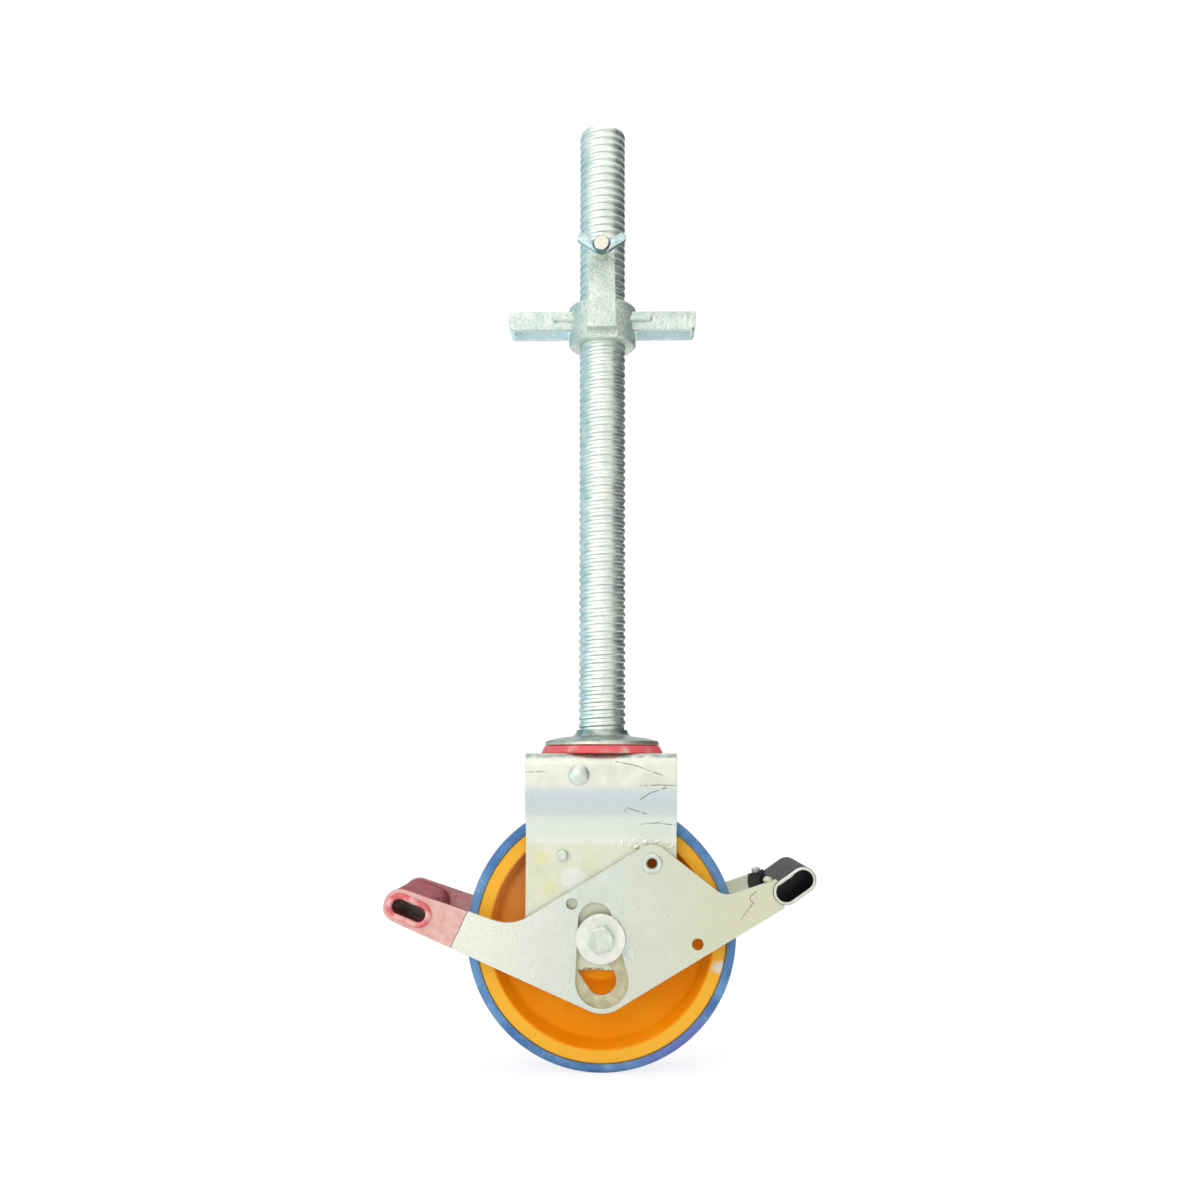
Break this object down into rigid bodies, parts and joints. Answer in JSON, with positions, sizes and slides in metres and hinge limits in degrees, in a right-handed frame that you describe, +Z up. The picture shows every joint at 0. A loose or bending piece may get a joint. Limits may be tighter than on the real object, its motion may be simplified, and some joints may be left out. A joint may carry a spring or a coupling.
{
  "type": "scaffold castor",
  "caption": "Scaffold castor with a threaded spindle and height-adjusting nut, a swivel fork and a foot brake lever that moves the wheel under the load.",
  "frame": {"origin": "on the floor below the spindle's axis, where the tyre meets the floor with the brake on", "axes": "+Z up along the spindle, +X towards the release tread, +Y along the axle towards its nut"},
  "size_m": [0.3152, 0.1109, 0.735],
  "materials": {
    "bright_zinc": "bright zinc plate",
    "cast_zinc": "zinc plated casting",
    "plain_steel": "plain",
    "yellow_zinc": "yellow zinc plate",
    "red_paint": "worn paint",
    "black_paint": "worn paint",
    "red_seal": "satin",
    "brake_rubber": "matt",
    "orange_core": "satin",
    "blue_tyre": "matt"
  },
  "bodies": {
    "spindle": {"spindle": "bright_zinc", "swivel_flange": "bright_zinc", "lower_cup": "plain_steel", "king_nut": "plain_steel", "upper_balls": "plain_steel", "lower_balls": "plain_steel"},
    "nut": {"adjusting_nut": "cast_zinc"},
    "wing_bolt": {"wing_bolt": "bright_zinc"},
    "fork": {"fork": "bright_zinc", "seal_ring": "red_seal", "shoe_bracket": "plain_steel", "brake_block": "brake_rubber", "crown_rivets": "bright_zinc", "stop_pins": "bright_zinc", "pivot_rivets": "bright_zinc"},
    "lever": {"lever_plate_front": "bright_zinc", "lever_plate_rear": "bright_zinc", "cam_plate_front": "yellow_zinc", "cam_plate_rear": "yellow_zinc", "cam_rivets": "bright_zinc", "brake_tread": "red_paint", "release_tread": "black_paint"},
    "axle": {"axle_bolt": "bright_zinc", "axle_nut": "bright_zinc", "washer_front": "bright_zinc", "washer_rear": "bright_zinc", "cam_bush_front": "plain_steel", "cam_bush_rear": "plain_steel", "axle_sleeve": "plain_steel", "bearing_inner_rings": "plain_steel"},
    "wheel": {"wheel_core": "orange_core", "tyre": "blue_tyre", "bearing_outer_rings": "plain_steel", "bearing_balls": "plain_steel"}
  },
  "joints": [
    {"name": "swivel", "type": "hinge", "parent": "spindle", "child": "fork", "pos_m": [0, 0, 0.237], "axis": [0, 0, 1], "continuous": true},
    {"name": "nut_travel", "type": "slide", "parent": "spindle", "child": "nut", "axis": [0, 0, 1], "range_m": [-0.295, 0.125]},
    {"name": "wing_bolt_turn", "type": "hinge", "parent": "nut", "child": "wing_bolt", "pos_m": [0, -0.031, 0.62], "axis": [0, -1, 0], "continuous": true},
    {"name": "lever_swing", "type": "hinge", "parent": "fork", "child": "lever", "pos_m": [0.0373, 0, 0.154], "axis": [0, 1, 0], "range_deg": [0, 20]},
    {"name": "axle_shift", "type": "slide", "parent": "fork", "child": "axle", "axis": [-1, 0, 0], "range_m": [0, 0.029]},
    {"name": "wheel_spin", "type": "hinge", "parent": "axle", "child": "wheel", "pos_m": [0, 0, 0.1], "axis": [0, 1, 0], "continuous": true}
  ],
  "couplings": [
    {"joint": "axle_shift", "follows": "lever_swing", "m_per_rad": 0.083079}
  ]
}
